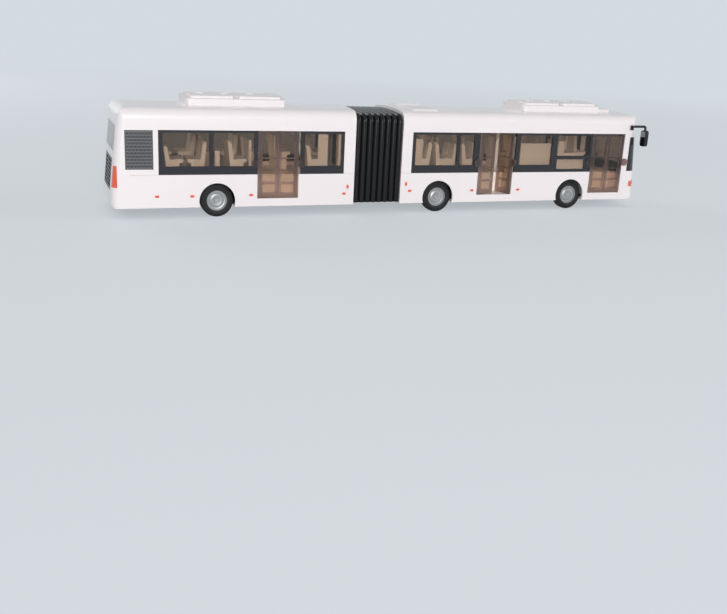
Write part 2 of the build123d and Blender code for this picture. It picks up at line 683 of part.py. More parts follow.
# Door leaves: each is drawn on a plane through its hinge, turned to its rest angle
LEAF_FOOT, LEAF_HEAD = SILL + LEAF_GAP, BAND_TOP - LEAF_GAP
PANEL_MIDDLE = (HINGE_STILE + LEAF_REACH - MEETING_STILE) / 2
PANEL_WIDTH = LEAF_REACH - HINGE_STILE - MEETING_STILE
for door, centre in DOORS.items():
    for end, way in (("rear", 1), ("front", -1)):
        angle = REST_ANGLE.get((door, end), 0.0)
        origin = (centre - way * (DOOR_WIDTH / 2 - HINGE_INSET), HINGE_Y, 0)
        hinge = Plane(origin, x_dir=(way * cos(radians(angle)), sin(radians(angle)), 0),
                      z_dir=(0, 0, 1))
        face = Plane(origin, x_dir=hinge.x_dir, z_dir=-hinge.y_dir)
        with BuildPart() as leaf:
            with BuildSketch(hinge.offset(LEAF_FOOT)):
                with Locations((LEAF_REACH / 2, 0)):
                    Rectangle(LEAF_REACH, LEAF_THICKNESS)
                Circle(LEAF_THICKNESS / 2)
            extrude(amount=LEAF_HEAD - LEAF_FOOT)
            with BuildSketch(face):
                for foot, head in LEAF_PANELS:
                    with Locations((PANEL_MIDDLE, (foot + head) / 2)):
                        Rectangle(PANEL_WIDTH, head - foot)
            extrude(amount=LEAF_THICKNESS, both=True, mode=Mode.SUBTRACT)
            with BuildSketch(face):
                with Locations((PANEL_MIDDLE, (LEAF_FOOT + LEAF_HEAD) / 2)):
                    Rectangle(PANEL_WIDTH + 0.4, LEAF_HEAD - LEAF_FOOT - 1)
            extrude(amount=PANEL_THICKNESS / 2, both=True)
            with BuildSketch(hinge.offset(LEAF_FOOT - STUB_LENGTH)):
                Circle(STUB_RADIUS)
            extrude(amount=LEAF_HEAD - LEAF_FOOT + 2 * STUB_LENGTH)
            with BuildSketch(face.offset(way * 0.6)):
                with Locations((-0.1, KNOB_Z)):
                    Rectangle(1.0, 2.4)
            extrude(amount=way * 0.6)
            with BuildSketch(face.offset(way * 1.1)):
                with Locations((-1.95, KNOB_Z)):
                    Circle(KNOB_RADIUS)
            extrude(amount=way * 0.9)
        leaf.part.label = f"{door}_door_{end}_leaf"
        export_step(leaf.part, f"parts/{door}_door_{end}_leaf.step")

# Bellows: a pleated strip swept up one side, over the roof and down the other
with BuildPart() as bellows:
    head = ROOF_CROWN - 2.8
    with BuildLine() as hoop:
        FilletPolyline((0, -BELLOWS_HALF, BELLOWS_FOOT), (0, -BELLOWS_HALF, head),
                       (0, BELLOWS_HALF, head), (0, BELLOWS_HALF, BELLOWS_FOOT),
                       radius=SHOULDER_RADIUS - 1.4)
    pitch = (FRONT_CAR_REAR - REAR_CAR_FRONT) / PLEATS
    folds = [(REAR_CAR_FRONT + step * pitch / 2, -BELLOWS_HALF - (PLEAT_DEPTH if step % 2 else 0))
             for step in range(2 * PLEATS + 1)]
    with BuildSketch(Plane.XY.offset(BELLOWS_FOOT)):
        with BuildLine():
            Polyline(folds + [(FRONT_CAR_REAR, -BELLOWS_HALF + PLEAT_DEPTH),
                              (REAR_CAR_FRONT, -BELLOWS_HALF + PLEAT_DEPTH)], close=True)
        make_face()
    sweep(path=hoop.line)
bellows.part.label = "bellows"
export_step(bellows.part, "parts/bellows.step")

# Interior floors, with a notch at each door for its well: start, end, half width
FLOORS = {
    "front": [(FRONT_CAR_REAR + WALL, 164.0, INNER), (164.0, 170.4, 19.0)],
    "rear": [(-166.0, REAR_CAR_FRONT - WALL, INNER)],
}
for name in CARS:
    with BuildPart() as tray:
        for start, end, half in FLOORS[name]:
            add(span_box((start, end), (-half, half), (TRAY_TOP - TRAY_SKIN, TRAY_TOP)))
        for door in CAR_DOORS[name]:
            add(span_box(door_span(door, 1.0 + TRAY_SKIN), (-30, -WELL_INNER + TRAY_SKIN), (0, 60)),
                mode=Mode.SUBTRACT)
    tray.part.label = f"{name}_interior"
    export_step(tray.part, f"parts/{name}_interior.step")

    with BuildPart() as wells:
        for door in CAR_DOORS[name]:
            add(span_box(door_span(door, 1.0 + TRAY_SKIN), (-PLATE_HALF, -WELL_INNER + TRAY_SKIN),
                         (WELL_FLOOR - TRAY_SKIN, TRAY_TOP)))
            add(span_box(door_span(door, 1.0), (-30, -WELL_INNER), (WELL_FLOOR, 60)),
                mode=Mode.SUBTRACT)
    wells.part.label = f"{name}_door_wells"
    export_step(wells.part, f"parts/{name}_door_wells.step")

# Seat seen from its side: run forwards from the foot of its back, rise above the ground.
# The two highest points are the top of the back, raised or lowered for each seat.
CUSHION = 33.4
SEAT_OUTLINE = [(0.4, TRAY_TOP), (7.0, TRAY_TOP), (7.6, 31.2), (9.4, 31.4), (9.4, CUSHION),
                (2.2, CUSHION - 0.4), (0.7, 0.0), (-1.5, 0.0), (-0.2, 31.0)]
# Seats: foot of the back, way it faces, top of the back, from Y, to Y
NEAR, FAR = (-24.2, -8.0), (8.0, 24.2)
SEATS = {
    "rear": [(-161.0, 1, 43.0, *NEAR), (-143.6, 1, 40.4, *NEAR), (-122.2, -1, 42.9, *NEAR),
             (-107.2, 1, 43.4, *NEAR), (-60.6, 1, 41.2, *NEAR),
             (-161.0, 1, 43.0, *FAR), (-145.0, 1, 43.0, *FAR), (-122.4, -1, 43.0, *FAR),
             (-118.4, 1, 43.0, *FAR), (-97.0, -1, 43.0, *FAR), (-93.0, 1, 43.0, *FAR),
             (-72.0, 1, 43.0, *FAR), (-50.0, 1, 43.0, *FAR)],
    "front": [(17.8, -1, 42.9, *NEAR), (22.8, 1, 42.9, *NEAR), (35.4, -1, 42.0, *NEAR),
              (40.8, 1, 42.4, *NEAR),
              (9.0, 1, 43.0, *FAR), (33.5, -1, 43.0, *FAR), (37.5, 1, 43.0, *FAR),
              (57.0, 1, 43.0, *FAR), (83.0, 1, 43.0, *FAR), (97.0, 1, 43.0, *FAR),
              (113.0, 1, 43.0, *FAR), (144.0, 1, 46.0, 9.0, 19.0)],
}
# Partitions, posts and benches: start, length, from Y, to Y, top
PANELS = {
    "rear": [(-116.0, 2.6, -24.2, -12.0, 37.9), (-96.4, 1.4, -24.2, -12.0, 44.0),
             (-54.6, 6.0, -24.2, -22.6, PANEL_TOP), (-42.1, 2.0, -24.2, -20.0, PANEL_TOP)],
    "front": [(8.3, 4.6, -24.2, -12.0, 45.4), (47.0, 1.8, -24.2, -12.0, 43.4),
              (78.6, 1.4, -24.2, -12.0, 43.0), (81.9, 22.5, -24.2, -22.8, 42.9),
              (81.9, 22.5, -22.8, -13.5, CUSHION), (109.8, 4.4, -24.2, -10.0, 44.4),
              (109.8, 16.6, -24.2, -10.0, 36.9), (134.0, 1.4, 6.0, 24.2, 50.0)],
}
GROOVE = 0.5


def seat(x, way, top, low, high):
    """Double seat on its plinth, with chamfered shoulders and a groove between its backs."""
    with BuildPart() as unit:
        with BuildSketch(Plane.XZ.offset(-low)):
            with BuildLine():
                Polyline([(x + way * run, rise or top) for run, rise in SEAT_OUTLINE], close=True)
            make_face()
        extrude(amount=low - high)
        chamfer(unit.edges().group_by(Axis.Z)[-1].filter_by(Axis.X), 1.2)
        middle = (low + high) / 2
        if high - low > 12:
            groove_x = sorted((x - way * 2, x + way * 3))
            add(span_box(groove_x, (middle - GROOVE, middle + GROOVE), (CUSHION + 2, top + 1)),
                mode=Mode.SUBTRACT)
    return unit.part


# Seats and partitions, each standing on the floor
for name in CARS:
    with BuildPart() as seats:
        for row in SEATS[name]:
            add(seat(*row))
        for start, length, low, high, top in PANELS[name]:
            add(span_box((start, start + length), (low, high), (TRAY_TOP, top)))
    seats.part.label = f"{name}_seats"
    export_step(seats.part, f"parts/{name}_seats.step")

# Dashboard, driver's console and steering wheel, one black moulding on the floor
DASH = dict(x=(165.6, 170.4), y=(-10.0, 18.5), top=28.5)
CONSOLE = dict(x=(162.6, 165.6), y=(11.0, 16.0), top=26.4)
WHEEL = Plane((161.6, 13.5, 30.4), z_dir=(-0.42, 0, 0.9))
WHEEL_RADIUS = 4.5
with BuildPart() as dashboard:
    add(span_box(DASH["x"], DASH["y"], (TRAY_TOP, DASH["top"])))
    chamfer(dashboard.edges().group_by(Axis.Z)[-1].filter_by(Axis.Y).sort_by(Axis.X)[0], 1.0)
    add(span_box(CONSOLE["x"], CONSOLE["y"], (TRAY_TOP, CONSOLE["top"])))
    with BuildSketch(WHEEL.offset(-0.3)):
        Circle(WHEEL_RADIUS)
        Circle(WHEEL_RADIUS - 0.8, mode=Mode.SUBTRACT)
        Rectangle(2 * WHEEL_RADIUS - 0.8, 0.9)
        Rectangle(0.9, 2 * WHEEL_RADIUS - 0.8)
        Circle(1.1)
    extrude(amount=0.6)
    with BuildSketch(WHEEL):
        Circle(0.7)
    extrude(amount=-5.0)
dashboard.part.label = "dashboard"
export_step(dashboard.part, "parts/dashboard.step")

print("built", len(os.listdir("parts")), "pieces")
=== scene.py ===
# %% [markdown]
# A die-cast toy of an articulated city bus, finished and photographed in Blender.
# The toy's rigid pieces come from its construction model, already at their real size and place.
# This script adds what a construction model leaves out: paint, smoked glass, rubber, the folded
# bellows, tyre tread, wheel nuts, mirror plates, lamp bowls, wipers and the strands of the side
# grilles. Then it sets up a plain studio.

# %% Load the construction model
import json
from math import atan2, pi, radians
import bmesh
import bpy
from bmesh.types import BMEdge, BMFace, BMVert
from mathutils import Matrix, Vector


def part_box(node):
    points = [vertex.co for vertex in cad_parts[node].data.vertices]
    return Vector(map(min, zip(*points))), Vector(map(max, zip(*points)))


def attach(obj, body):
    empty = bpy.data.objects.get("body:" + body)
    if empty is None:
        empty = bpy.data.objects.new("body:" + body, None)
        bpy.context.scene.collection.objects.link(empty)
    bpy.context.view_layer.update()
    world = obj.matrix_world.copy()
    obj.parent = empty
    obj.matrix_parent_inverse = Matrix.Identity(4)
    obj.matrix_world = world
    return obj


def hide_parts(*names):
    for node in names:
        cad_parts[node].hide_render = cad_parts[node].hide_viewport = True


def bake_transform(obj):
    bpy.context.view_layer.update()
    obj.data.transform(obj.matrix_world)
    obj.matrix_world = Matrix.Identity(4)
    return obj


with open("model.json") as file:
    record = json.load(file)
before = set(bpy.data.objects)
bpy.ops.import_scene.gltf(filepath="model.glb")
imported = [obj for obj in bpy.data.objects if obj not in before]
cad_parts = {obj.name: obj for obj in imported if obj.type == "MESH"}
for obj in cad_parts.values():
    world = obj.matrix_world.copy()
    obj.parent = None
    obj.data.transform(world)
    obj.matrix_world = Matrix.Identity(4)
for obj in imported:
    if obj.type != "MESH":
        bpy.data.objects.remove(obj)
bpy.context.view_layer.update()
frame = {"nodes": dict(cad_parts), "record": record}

MM = 0.001
scene = bpy.context.scene
nodes = frame["nodes"]
slot_of = {row["node"]: row["material_slot"] for row in frame["record"]["subparts"]}
print(len(nodes), "construction pieces,", len(set(slot_of.values())), "finishes")

# %% [markdown]
# The camera stands where the photograph was taken from: near the tail, a little above the roof,
# looking along the door side. Its place and its three directions are one rigid matrix. Pointing it
# with a constraint would be easier to write, but would lose the slight roll of the picture.

# %% Camera
CAMERA_PLACE = Vector((-0.21806, -0.5375, 0.10776))
CAMERA_RIGHT = Vector((0.93756, -0.34451, 0.04800))
CAMERA_UP = Vector((0.05817, 0.29136, 0.95484))
FOCAL_LENGTH = 44.7

camera = bpy.data.objects.new("camera", bpy.data.cameras.new("camera"))
scene.collection.objects.link(camera)
turn = Matrix((CAMERA_RIGHT, CAMERA_UP, CAMERA_RIGHT.cross(CAMERA_UP))).transposed()
camera.matrix_world = Matrix.Translation(CAMERA_PLACE) @ turn.to_4x4()
camera.data.lens = FOCAL_LENGTH
scene.camera = camera
print("camera", tuple(round(v, 3) for v in camera.location), "lens", FOCAL_LENGTH)

# %% [markdown]
# A material is a small net of nodes. The same few knots come up again and again: a sum, a mix of
# two values, a mix of two surfaces. Each could be written out where it is needed, but then the
# wiring would hide what a material does. So each is a helper that makes one node, feeds it and
# hands back its output.

# %% Node helpers
# Sockets of a Mix node for each kind of value: first, second, result
MIX_SOCKETS = {"FLOAT": (2, 3, 0), "RGBA": (6, 7, 2)}


def maths(tree, operation, *values):
    """Output of a Math node that is fed with numbers or with other nodes' outputs."""
    node = tree.nodes.new("ShaderNodeMath")
    node.operation = operation
    for socket, value in zip(node.inputs, values):
        if isinstance(value, bpy.types.NodeSocket):
            tree.links.new(value, socket)
        else:
            socket.default_value = value
    return node.outputs[0]


def mixed(tree, kind, first, second, share):
    """Output of a Mix node that goes from one constant to another as the share grows."""
    mix = tree.nodes.new("ShaderNodeMix")
    mix.data_type = kind
    at_none, at_all, result = MIX_SOCKETS[kind]
    mix.inputs[at_none].default_value = first
    mix.inputs[at_all].default_value = second
    tree.links.new(share, mix.inputs[0])
    return mix.outputs[result]


def mix_in_surface(tree, other, share):
    """Mixes another shader into a material's own, just before its output."""
    mix = tree.nodes.new("ShaderNodeMixShader")
    tree.links.new(share, mix.inputs["Fac"])
    tree.links.new(tree.nodes["Principled BSDF"].outputs["BSDF"], mix.inputs[1])
    tree.links.new(other, mix.inputs[2])
    tree.links.new(mix.outputs["Shader"], tree.nodes["Material Output"].inputs["Surface"])


def node_of(tree, kind):
    """A material's first node of one kind."""
    return next(node for node in tree.nodes if node.type == kind)


def new_group(name, inputs, outputs):
    """Empty node group with named sockets; also what goes in and what comes out inside it."""
    group = bpy.data.node_groups.new(name, "ShaderNodeTree")
    for way, sockets in (("INPUT", inputs), ("OUTPUT", outputs)):
        for label, kind in sockets.items():
            group.interface.new_socket(label, in_out=way, socket_type=f"NodeSocket{kind}")
    given = group.nodes.new("NodeGroupInput").outputs
    wanted = group.nodes.new("NodeGroupOutput").inputs
    return group, given, wanted


print("node helpers ready")

# %% [markdown]
# Most finishes here are moulded or sprayed. Both have the same faint faults: the tone drifts over
# a few centimetres, and the surface has a fine skin that breaks up a reflection. One node group
# holds that effect and each material gives it its own grain and drift. It hands back only a
# colour, a roughness and a height, so the shader itself stays in the material.

# %% Shared surface group
PATCH_SCALE, PATCH_DETAIL = 28, 3
SKIN_DETAIL = 2
NOISE_MIDDLE = 0.5


def surface_group():
    """Node group: drifting tone, drifting roughness and a fine height for the skin."""
    group, given, wanted = new_group(
        "moulded_surface",
        {"Vector": "Vector", "Colour": "Color", "Roughness": "Float", "Grain": "Float",
         "Drift": "Float"},
        {"Colour": "Color", "Roughness": "Float", "Height": "Float"})
    link = group.links.new
    patches = group.nodes.new("ShaderNodeTexNoise")
    patches.inputs["Scale"].default_value = PATCH_SCALE
    patches.inputs["Detail"].default_value = PATCH_DETAIL
    link(given["Vector"], patches.inputs["Vector"])
    skin = group.nodes.new("ShaderNodeTexNoise")
    skin.inputs["Detail"].default_value = SKIN_DETAIL
    link(given["Vector"], skin.inputs["Vector"])
    link(given["Grain"], skin.inputs["Scale"])

    centred = maths(group, "SUBTRACT", patches.outputs["Fac"], NOISE_MIDDLE)
    swing = maths(group, "MULTIPLY", centred, given["Drift"])
    shade = group.nodes.new("ShaderNodeVectorMath")
    shade.operation = "SCALE"
    link(given["Colour"], shade.inputs[0])
    link(maths(group, "ADD", swing, 1.0), shade.inputs["Scale"])
    rough = maths(group, "MULTIPLY_ADD", swing, given["Roughness"], given["Roughness"])

    link(shade.outputs[0], wanted["Colour"])
    link(rough, wanted["Roughness"])
    link(skin.outputs["Fac"], wanted["Height"])
    return group


SURFACE = surface_group()
print("group", SURFACE.name, "with", len(SURFACE.nodes), "nodes")

# %% [markdown]
# Each finish is one call: a colour, how rough it is, how fine its grain is, how deep, and how far
# the tone drifts. Values that are the same all over, such as the coat or the index of refraction,
# go straight to the shader's own sockets.

# %% Finish helper
BUMP_DISTANCE = 0.1 * MM


def finish(name, colour, roughness, grain, depth, drift, sockets):
    """Principled material over the shared surface; further sockets are set by their name."""
    material = bpy.data.materials.new(name)
    material.use_nodes = True
    tree = material.node_tree
    shader = tree.nodes["Principled BSDF"]
    place = tree.nodes.new("ShaderNodeTexCoord")
    surface = tree.nodes.new("ShaderNodeGroup")
    surface.node_tree = SURFACE
    surface.inputs["Colour"].default_value = (*colour, 1)
    surface.inputs["Roughness"].default_value = roughness
    surface.inputs["Grain"].default_value = grain
    surface.inputs["Drift"].default_value = drift
    bump = tree.nodes.new("ShaderNodeBump")
    bump.inputs["Strength"].default_value = depth
    bump.inputs["Distance"].default_value = BUMP_DISTANCE
    tree.links.new(place.outputs["Object"], surface.inputs["Vector"])
    tree.links.new(surface.outputs["Colour"], shader.inputs["Base Color"])
    tree.links.new(surface.outputs["Roughness"], shader.inputs["Roughness"])
    tree.links.new(surface.outputs["Height"], bump.inputs["Height"])
    tree.links.new(bump.outputs["Normal"], shader.inputs["Normal"])
    for label, value in sockets.items():
        shader.inputs[label].default_value = value
    return material


print("finish helper ready")

# %% [markdown]
# The body is die-cast metal sprayed glossy white, with a slight lilac cast. A clear coat gives
# the sharp reflection over a softer white. The loose plastic pieces are nearly the same white
# with less of that coat, and the seats and floor are plain white plastic that only looks beige
# because it is seen through brown glass. The orange lamps look like solid paint on the toy. As
# glass they would go dark, with nothing bright behind them.

# %% Painted and moulded finishes
# Name: colour, roughness, grain, depth of the grain, drift of the tone, the shader's own sockets
OPAQUE = {
    "white_body": ((0.85, 0.795, 0.80), 0.30, 700, 0.05, 0.03,
                   {"Coat Weight": 0.6, "Coat Roughness": 0.06}),
    "white_plastic": ((0.83, 0.785, 0.795), 0.34, 1400, 0.06, 0.04,
                      {"Coat Weight": 0.25, "Coat Roughness": 0.12}),
    "tray_plastic": ((0.92, 0.88, 0.83), 0.46, 1800, 0.12, 0.05, {}),
    "black_plastic": ((0.016, 0.016, 0.018), 0.42, 2600, 0.22, 0.20,
                      {"Specular IOR Level": 0.35}),
    "band_black": ((0.010, 0.010, 0.014), 0.16, 900, 0.03, 0.10,
                   {"Coat Weight": 0.4, "Coat Roughness": 0.04}),
    "grille_grey": ((0.060, 0.060, 0.066), 0.48, 2600, 0.22, 0.18, {}),
    # Grille strands: lighter grey than the grille plate, a painted highlight for the light they
    # catch
    "strand_painted_glint": ((0.18, 0.18, 0.195), 0.38, 2600, 0.12, 0.25, {}),
    "sign_white": ((0.90, 0.87, 0.84), 0.38, 1600, 0.05, 0.04, {}),
    "tyre": ((0.017, 0.017, 0.018), 0.62, 2200, 0.35, 0.30, {"Specular IOR Level": 0.3}),
    "bellows": ((0.008, 0.008, 0.009), 0.24, 3200, 0.15, 0.20, {"Specular IOR Level": 0.25}),
    "lamp_orange": ((0.80, 0.10, 0.045), 0.22, 1500, 0.10, 0.08,
                    {"Coat Weight": 0.5, "Coat Roughness": 0.05}),
    "hub": ((0.37, 0.375, 0.38), 0.42, 3000, 0.10, 0.12, {"Metallic": 0.55}),
    "steel": ((0.56, 0.56, 0.57), 0.28, 3000, 0.10, 0.10, {"Metallic": 1.0}),
    "mirror_glass": ((0.30, 0.31, 0.33), 0.05, 900, 0.0, 0.02, {"Metallic": 1.0}),
    "silvered": ((0.72, 0.73, 0.75), 0.10, 900, 0.0, 0.02, {"Metallic": 1.0}),
}
FINISHES = {name: finish(name, *row) for name, row in OPAQUE.items()}
print(len(FINISHES), "opaque finishes")

# %% [markdown]
# The glazing is clear plastic dyed brown, and the headlamp lenses are clear. Both are Principled
# glass with a plain transmission weight. The dye is the base colour, because light takes it up on
# the way in. A lamp's direct light doesn't get through glass in a render, and the seats behind it
# would stand in the dark. So for shadow rays alone the glass is a clear film with a faint tint.

# %% Clear and dyed finishes
PLASTIC_IOR = 1.45
GLAZING_TINT, LENS_TINT = (1.0, 0.95, 0.90), (0.95, 0.95, 0.95)


def let_lamps_through(material, tint):
    """Lets light from the lamps pass glass with a tint, so that what is behind it is lit."""
    tree = material.node_tree
    path = tree.nodes.new("ShaderNodeLightPath")
    film = tree.nodes.new("ShaderNodeBsdfTransparent")
    film.inputs["Color"].default_value = (*tint, 1)
    mix_in_surface(tree, film.outputs["BSDF"], path.outputs["Is Shadow Ray"])


FINISHES["smoked_glazing"] = finish("smoked_glazing", (0.37, 0.315, 0.27), 0.03, 900, 0.01, 0.05,
                                    {"Transmission Weight": 1.0, "IOR": PLASTIC_IOR})
FINISHES["lamp_clear"] = finish("lamp_clear", (0.90, 0.92, 0.94), 0.05, 1500, 0.05, 0.02,
                                {"Transmission Weight": 0.9, "IOR": PLASTIC_IOR})
let_lamps_through(FINISHES["smoked_glazing"], GLAZING_TINT)
let_lamps_through(FINISHES["lamp_clear"], LENS_TINT)
print(len(FINISHES), "finishes with the clear ones")

# %% [markdown]
# A door leaf is one clear moulding whose border and rails are left thick and matt, so they look
# mauve-grey, while the four panels between them are thin and clear. Two materials would need the
# faces sorted. A mask is simpler: it compares each point with the panels' edges, measured out
# from the hinge and up from the ground.

# %% Door leaf mask
PANEL_MIDDLE, PANEL_HALF = 5.9 * MM, 3.9 * MM
# Foot and head of each clear panel above the ground, in millimetres
PANEL_ROWS = [(14.0, 18.7), (20.2, 26.6), (27.4, 33.6), (34.4, 48.2)]


def leaf_panels_group():
    """Node group: 1 inside one of a leaf's four clear panels, 0 on its border and rails."""
    group, given, wanted = new_group("leaf_panels", {"Vector": "Vector"}, {"Panel": "Float"})
    parts = group.nodes.new("ShaderNodeSeparateXYZ")
    group.links.new(given["Vector"], parts.inputs[0])
    rows = 0.0
    for foot, head in PANEL_ROWS:
        middle, half = (foot + head) / 2 * MM, (head - foot) / 2 * MM
        rows = maths(group, "MAXIMUM", rows,
                     maths(group, "COMPARE", parts.outputs["Z"], middle, half))
    column = maths(group, "COMPARE", parts.outputs["X"], PANEL_MIDDLE, PANEL_HALF)
    group.links.new(maths(group, "MULTIPLY", rows, column), wanted["Panel"])
    return group


LEAF_PANELS = leaf_panels_group()
print("group", LEAF_PANELS.name, "with", len(LEAF_PANELS.nodes), "nodes")

# %% [markdown]
# The six leaves hang on six hinges, and the middle pair stands ajar at rest. One material for all
# of them would need a mask in six places. Instead each leaf has a material of its own, whose
# Mapping node starts at its hinge, turns its rest angle back and mirrors every second leaf. Then
# the one mask fits them all. It chooses between two dyes and between matt and clear.

# %% Door leaf finishes
CLEAR_DYE, MATT_DYE = (0.42, 0.33, 0.27, 1), (0.27, 0.205, 0.20, 1)
CLEAR_ROUGHNESS, MATT_ROUGHNESS = 0.04, 0.36
LEAF_TINT = (0.95, 0.88, 0.82)


def leaf_finish(name, joint):
    """Door plastic whose clear panels follow the leaf that hangs on one hinge joint."""
    material = finish(name, CLEAR_DYE[:3], CLEAR_ROUGHNESS, 1500, 0.03, 0.08,
                      {"Transmission Weight": 1.0, "IOR": PLASTIC_IOR})
    tree = material.node_tree
    surface, place = node_of(tree, "GROUP"), node_of(tree, "TEX_COORD")
    hinge_x, hinge_y = joint["pos_m"][:2]
    way, rest = joint["axis"][2], -radians(joint["range_deg"][0])
    from_hinge = tree.nodes.new("ShaderNodeMapping")
    from_hinge.vector_type = "TEXTURE"
    from_hinge.inputs["Location"].default_value = (hinge_x, hinge_y, 0)
    from_hinge.inputs["Rotation"].default_value = (0, 0, way * rest)
    from_hinge.inputs["Scale"].default_value = (way, 1, 1)
    panels = tree.nodes.new("ShaderNodeGroup")
    panels.node_tree = LEAF_PANELS
    clear = panels.outputs["Panel"]
    link = tree.links.new
    link(place.outputs["Object"], from_hinge.inputs["Vector"])
    link(from_hinge.outputs[0], panels.inputs["Vector"])
    link(mixed(tree, "RGBA", MATT_DYE, CLEAR_DYE, clear), surface.inputs["Colour"])
    link(mixed(tree, "FLOAT", MATT_ROUGHNESS, CLEAR_ROUGHNESS, clear), surface.inputs["Roughness"])
    let_lamps_through(material, LEAF_TINT)
    return material


leaf_finishes = {}
for joint in frame["record"]["behaviour"]["joints"]:
    if "_door_" in joint["name"]:
        door = joint["child"]
        leaf_finishes[f"{door}_leaf"] = leaf_finish(f"door_plastic_{door}", joint)
print(len(leaf_finishes), "door leaf finishes")

# %% [markdown]
# Every piece of the construction model now gets the finish of its material slot, apart from the
# door leaves, which get their own. Only the material slots are written, so the shapes stay
# exactly as they were built.

# %% Finishes on the construction model
for name, piece in nodes.items():
    piece.data.materials.clear()
    piece.data.materials.append(leaf_finishes.get(name) or FINISHES[slot_of[name]])
print("finished", len(nodes), "construction pieces")

# %% [markdown]
# Every added piece is a bmesh until it is done. These helpers pick out what an operator made,
# close a mesh, and make it an object that rides on one of the toy's bodies. The object could be
# moved into place instead. It stays at the origin with its place in its mesh, so that patterns
# and poses both work from the same frame.

# %% Mesh helpers
MERGE = 0.001 * MM
SMOOTH_ANGLE = radians(35)


def only(kind, geom):
    """The vertices, the edges or the faces among what an operator hands back."""
    return [part for part in geom if isinstance(part, kind)]


def close(bm):
    """Merges doubles and turns all faces outwards."""
    bmesh.ops.remove_doubles(bm, verts=bm.verts, dist=MERGE)
    bmesh.ops.recalc_face_normals(bm, faces=bm.faces)


def make_piece(name, bm, slot, body=None):
    """Object from a bmesh, with its finish, on its body if it rides on one."""
    mesh = bpy.data.meshes.new(name)
    bm.to_mesh(mesh)
    bm.free()
    mesh.shade_smooth()
    mesh.set_sharp_from_angle(angle=SMOOTH_ANGLE)
    made = bpy.data.objects.new(name, mesh)
    scene.collection.objects.link(made)
    mesh.materials.append(FINISHES[slot])
    if body:
        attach(made, body)
    print(name, len(mesh.polygons), "faces")
    return made


print("mesh helpers ready")

# %% [markdown]
# The bellows join the two cars. On the toy they are one soft black moulding with eight rounded
# pleats that run up one side, over the roof and down the other. A row of rings could be bridged,
# but it is simpler to draw one hoop and extrude it along the bus in small steps. The hoop is
# three straight lines with two corners rounded by a bevel, and its top follows the roof's arch.

# %% Bellows outline
PLEAT_DEPTH = 1.5 * MM
SHOULDER, SHOULDER_STEPS = 4.6 * MM, 12
ROOF_CUTS = 16
ROOF_ARCH = 0.23


def hoop(bm, x, half, foot, head):
    """Open outline of the bellows at one place: two sides and a rounded, arched top."""
    corners = [(-half, foot), (-half, head), (half, head), (half, foot)]
    verts = [bm.verts.new((x, y, z)) for y, z in corners]
    for pair in zip(verts, verts[1:]):
        bm.edges.new(pair)
    bmesh.ops.bevel(bm, geom=verts[1:3], offset=SHOULDER, segments=SHOULDER_STEPS, profile=0.5,
                    affect="VERTICES", material=-1)
    top = max(bm.edges, key=lambda edge: abs(edge.verts[0].co.y - edge.verts[1].co.y))
    bmesh.ops.subdivide_edges(bm, edges=[top], cuts=ROOF_CUTS)
    for vert in bm.verts:
        if vert.co.z > head - SHOULDER * 2:
            vert.co.z -= vert.co.y ** 2 / (2 * ROOF_ARCH)


low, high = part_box("bellows")
hoop_half = high.y - PLEAT_DEPTH
hoop_head = high.z - PLEAT_DEPTH
bm = bmesh.new()
hoop(bm, low.x, hoop_half, low.z, hoop_head)
print("hoop of", len(bm.verts), "vertices")

# %% [markdown]
# Each step of the extrusion swells or shrinks the hoop a little, so that every pleat has a round
# crest and a narrow fold. The power of the crest's curve sets how flat the crest is. Solidify
# then gives the skin its thickness.

# %% Bellows
PLEATS = 8
STEPS_PER_PLEAT = 10
CREST_POWER = 2.6
SKIN = 0.4 * MM


def swell(step):
    """How much larger than the fold the hoop is, across and upwards, after a number of steps."""
    off_crest = abs(2 * (step / STEPS_PER_PLEAT % 1) - 1)
    out = PLEAT_DEPTH * (1 - off_crest ** CREST_POWER)
    return Vector((1, 1 + out / hoop_half, 1 + out / (hoop_head - low.z)))


step_length = (high.x - low.x) / (PLEATS * STEPS_PER_PLEAT)
edges = list(bm.edges)
for step in range(PLEATS * STEPS_PER_PLEAT):
    grown = bmesh.ops.extrude_edge_only(bm, edges=edges)["geom"]
    verts, edges = only(BMVert, grown), only(BMEdge, grown)
    bmesh.ops.translate(bm, verts=verts, vec=(step_length, 0, 0))
    before, after = swell(step), swell(step + 1)
    growth = Vector((1, after.y / before.y, after.z / before.z))
    bmesh.ops.scale(bm, verts=verts, vec=growth, space=Matrix.Translation((0, 0, -low.z)))
close(bm)
bmesh.ops.solidify(bm, geom=bm.faces[:], thickness=SKIN)
bellows_skin = make_piece("bellows_skin", bm, "bellows")
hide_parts("bellows")
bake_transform(bellows_skin)

# %% [markdown]
# A rubber tyre on a toy like this has a raised bead beside the hub, grooves round its tread and
# short ribs that run over each shoulder. A tyre could be a torus cut to shape, but its real mould
# is turned from a half section, so this one starts as that section too. Only one side is drawn,
# from the hub to the middle groove, and the other side is its mirror image.

# %% Tyre outline
GROOVE_DEPTH, GROOVE_HALF = 0.35 * MM, 0.18 * MM
RIB_LENGTH = 1.9 * MM
# Middle of each groove, away from the tyre's middle plane
GROOVES = [1.1 * MM, 0.0]
# Bead: in from the tyre's face, out from the hub. Shoulder: in from the face, down from the tread
BEAD = [(0.3 * MM, 0.0), (0.0, 0.7 * MM), (0.0, 1.6 * MM), (0.25 * MM, 1.8 * MM)]
SHOULDER_CURVE = [(0.25 * MM, RIB_LENGTH), (0.25 * MM, 1.0 * MM), (0.5 * MM, 0.35 * MM),
                  (0.95 * MM, 0.0)]


